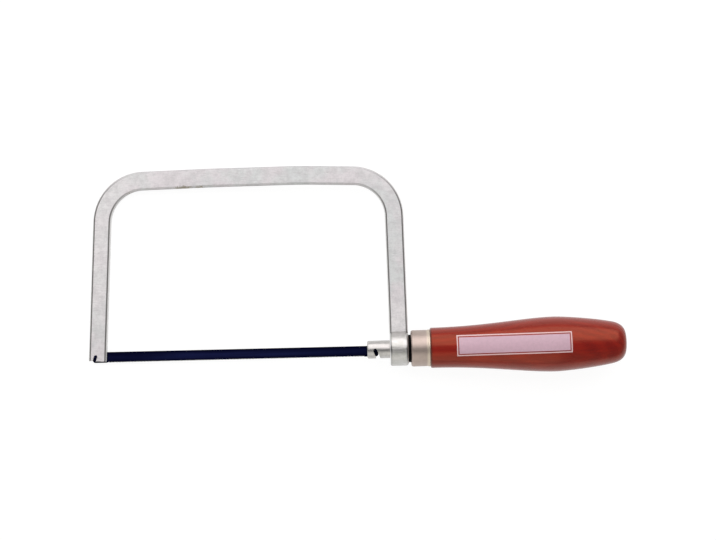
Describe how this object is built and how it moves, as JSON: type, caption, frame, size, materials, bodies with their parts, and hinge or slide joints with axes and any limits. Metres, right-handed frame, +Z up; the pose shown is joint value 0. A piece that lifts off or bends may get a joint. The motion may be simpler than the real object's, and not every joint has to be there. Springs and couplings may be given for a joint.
{
  "type": "mini hacksaw",
  "caption": "Mini hacksaw: flat steel bar bow with a pinned fine-tooth blade, tensioned by turning a lacquered wooden handle on a slotted rod.",
  "frame": {"origin": "under the middle of the saw's box, on the surface that the handle's belly touches when the saw lies on its side", "axes": "+X along the tool axis towards the handle, +Y towards the back of the bow, +Z up, square to the bow's flat side"},
  "size_m": [0.2892, 0.1146, 0.0295],
  "materials": {
    "frame_nickel": "satin nickel plate, faintly mottled",
    "blued_steel": "dark blue-black heat finish",
    "rod_nickel": "satin nickel plate",
    "black_oxide": "black oxide",
    "ferrule_nickel": "warm satin nickel, drawn",
    "zinc_plate": "zinc plate",
    "red_wood": "red stained wood under clear lacquer",
    "label_print": "pale printed panel with a thin border, bare"
  },
  "bodies": {
    "frame": {"frame": "frame_nickel"},
    "handle": {"handle": "red_wood", "ferrule": "ferrule_nickel", "tension_nut": "zinc_plate", "thrust_washer": "black_oxide"},
    "tension_rod": {"tension_rod": "rod_nickel"},
    "blade": {"blade": "blued_steel", "front_blade_pin": "blued_steel", "rear_blade_pin": "blued_steel"}
  },
  "joints": [
    {"name": "handle_turn", "type": "hinge", "parent": "frame", "child": "handle", "pos_m": [0.0226, -0.04257, 0.01476], "axis": [1, 0, 0], "range_deg": [0, 1800]},
    {"name": "rod_slide", "type": "slide", "parent": "frame", "child": "tension_rod", "axis": [-1, 0, 0], "range_m": [0, 0.005]},
    {"name": "blade_release", "type": "slide", "parent": "frame", "child": "blade", "axis": [-0.342, -0.9397, 0], "range_m": [0, 0.00731]}
  ],
  "couplings": [
    {"joint": "rod_slide", "follows": "handle_turn", "m_per_rad": 0.00015915},
    {"joint": "blade_release", "follows": "handle_turn", "m_per_rad": 0.00023267}
  ]
}
